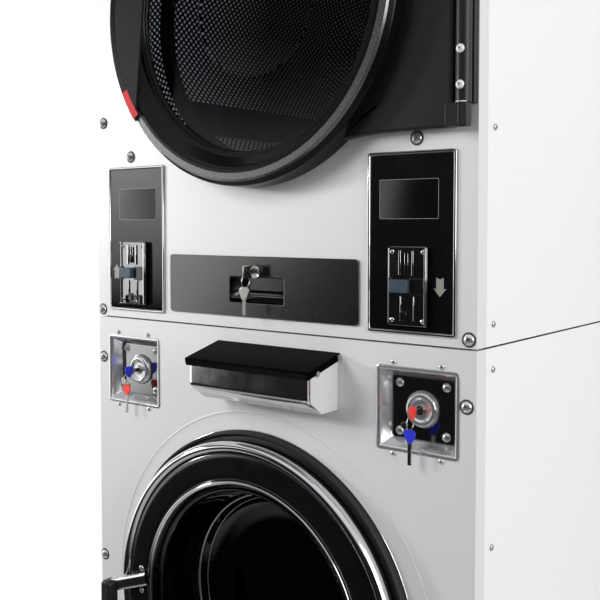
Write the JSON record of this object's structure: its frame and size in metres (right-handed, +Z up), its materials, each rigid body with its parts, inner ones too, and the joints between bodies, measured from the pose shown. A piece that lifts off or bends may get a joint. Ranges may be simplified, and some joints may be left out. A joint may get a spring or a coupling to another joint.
{
  "type": "stacked coin-operated tumble dryer and washer",
  "caption": "Coin-operated laundry stack: a tumble dryer with a round glazed door over a washer-extractor, with coin panels, lint drawer, soap box and locked coin vaults.",
  "frame": {"origin": "on the floor, under the middle of the machine's box", "axes": "+Z up, front faces -Y, +X on the right of someone facing the machine"},
  "size_m": [0.86, 1.102, 2],
  "materials": {
    "stainless": "fine brushed stainless sheet",
    "polished": "polished stainless",
    "charcoal": "fine textured black powder coat",
    "black": "gloss black moulded plastic",
    "rubber": "matt black rubber",
    "glass": "tinted toughened glass",
    "painted": "pale grey satin paint",
    "zinc": "galvanised sheet",
    "cast": "dark painted casting",
    "motor": "dark blue-grey enamel",
    "lock": "nickel-plated lock and key"
  },
  "bodies": {
    "cabinet": {"washer_front_panel": "stainless", "dryer_front_panel": "stainless", "top_cover": "stainless", "washer_tub": "stainless", "washer_port_ring": "stainless", "washer_hinge_bracket": "polished", "soap_box": "polished", "control_bezel_left": "polished", "control_bezel_right": "polished", "coin_acceptor_left": "polished", "coin_acceptor_right": "polished", "vault_dish_left": "polished", "vault_dish_right": "polished", "dryer_hinge_leaf": "charcoal", "drain_valve": "black", "washer_door_gasket": "rubber", "dryer_belt": "rubber", "washer_belt": "rubber", "levelling_foot_front_left": "rubber", "levelling_foot_front_right": "rubber", "levelling_foot_rear_left": "rubber", "levelling_foot_rear_right": "rubber", "control_glass_left": "glass", "control_glass_right": "glass", "washer_side_left": "painted", "washer_side_right": "painted", "dryer_side_left": "painted", "dryer_side_right": "painted", "washer_rear_panel": "painted", "dryer_rear_panel": "painted", "middle_deck": "zinc", "dryer_casing": "zinc", "heater_box": "zinc", "blower_housing": "zinc", "base_frame": "cast", "washer_bearing_housing": "cast", "dryer_motor": "motor", "washer_motor": "motor"},
    "dryer_door": {"dryer_door_frame": "charcoal", "dryer_door_glass": "glass", "dryer_door_handle": "charcoal"},
    "washer_door": {"washer_door_ring": "polished", "washer_door_glass": "glass"},
    "washer_door_lever": {"washer_door_lever": "polished"},
    "dryer_drum": {"dryer_drum": "stainless", "dryer_drum_pulley": "cast"},
    "washer_drum": {"washer_drum": "stainless", "washer_drum_pulley": "cast"},
    "dryer_motor_pulley": {"dryer_motor_pulley": "cast"},
    "washer_motor_pulley": {"washer_motor_pulley": "cast"},
    "blower_impeller": {"blower_impeller": "cast"},
    "lint_drawer": {"lint_drawer": "charcoal"},
    "lint_lock": {"lint_lock": "lock"},
    "soap_lid": {"soap_lid": "black"},
    "coin_return_left": {"coin_return_left": "black"},
    "coin_return_right": {"coin_return_right": "black"},
    "coin_box_left": {"coin_box_left": "polished"},
    "coin_box_right": {"coin_box_right": "polished"},
    "coin_lock_left": {"coin_lock_left": "lock"},
    "coin_lock_right": {"coin_lock_right": "lock"}
  },
  "joints": [
    {"name": "dryer_door_swing", "type": "hinge", "parent": "cabinet", "child": "dryer_door", "pos_m": [0.4165, -0.487, 1.575], "axis": [0, 0, 1], "range_deg": [0, 165]},
    {"name": "washer_door_swing", "type": "hinge", "parent": "cabinet", "child": "washer_door", "pos_m": [0.345, -0.494, 0.486], "axis": [0, 0, 1], "range_deg": [0, 150]},
    {"name": "washer_lever_lift", "type": "hinge", "parent": "washer_door", "child": "washer_door_lever", "pos_m": [-0.268, -0.511, 0.498], "axis": [0, 1, 0], "range_deg": [0, 50]},
    {"name": "dryer_drum_spin", "type": "hinge", "parent": "cabinet", "child": "dryer_drum", "pos_m": [0, -0.409, 1.575], "axis": [0, 1, 0], "continuous": true},
    {"name": "washer_drum_spin", "type": "hinge", "parent": "cabinet", "child": "washer_drum", "pos_m": [0, -0.394, 0.486], "axis": [0, 1, 0], "continuous": true},
    {"name": "dryer_motor_spin", "type": "hinge", "parent": "cabinet", "child": "dryer_motor_pulley", "pos_m": [0.26, 0.386, 1.0888], "axis": [0, 1, 0], "continuous": true},
    {"name": "washer_motor_spin", "type": "hinge", "parent": "cabinet", "child": "washer_motor_pulley", "pos_m": [0.30502, 0.341, 0.1753], "axis": [0, 1, 0], "continuous": true},
    {"name": "blower_spin", "type": "hinge", "parent": "cabinet", "child": "blower_impeller", "pos_m": [-0.24, 0.0285, 1.1038], "axis": [0, 1, 0], "continuous": true},
    {"name": "lint_drawer_slide", "type": "slide", "parent": "cabinet", "child": "lint_drawer", "axis": [0, -1, 0], "range_m": [0, 0.3]},
    {"name": "lint_lock_turn", "type": "hinge", "parent": "lint_drawer", "child": "lint_lock", "pos_m": [0, -0.4636, 1.105], "axis": [0, 1, 0], "range_deg": [0, 90]},
    {"name": "soap_lid_lift", "type": "hinge", "parent": "cabinet", "child": "soap_lid", "pos_m": [0.042, -0.463, 0.976], "axis": [-1, 0, 0], "range_deg": [0, 40]},
    {"name": "coin_return_left_press", "type": "slide", "parent": "cabinet", "child": "coin_return_left", "axis": [0, 1, 0], "range_m": [0, 0.004], "stiffness_N_per_m": 300},
    {"name": "coin_box_left_slide", "type": "slide", "parent": "cabinet", "child": "coin_box_left", "axis": [0, -1, 0], "range_m": [0, 0.15]},
    {"name": "coin_lock_left_turn", "type": "hinge", "parent": "coin_box_left", "child": "coin_lock_left", "pos_m": [-0.327, -0.4496, 0.8956], "axis": [0, 1, 0], "range_deg": [0, 90]},
    {"name": "coin_return_right_press", "type": "slide", "parent": "cabinet", "child": "coin_return_right", "axis": [0, 1, 0], "range_m": [0, 0.004], "stiffness_N_per_m": 300},
    {"name": "coin_box_right_slide", "type": "slide", "parent": "cabinet", "child": "coin_box_right", "axis": [0, -1, 0], "range_m": [0, 0.15]},
    {"name": "coin_lock_right_turn", "type": "hinge", "parent": "coin_box_right", "child": "coin_lock_right", "pos_m": [0.327, -0.4496, 0.8956], "axis": [0, 1, 0], "range_deg": [0, 90]}
  ],
  "couplings": [
    {"joint": "dryer_motor_spin", "follows": "dryer_drum_spin", "ratio": 5.5},
    {"joint": "washer_motor_spin", "follows": "washer_drum_spin", "ratio": 5.4286}
  ]
}
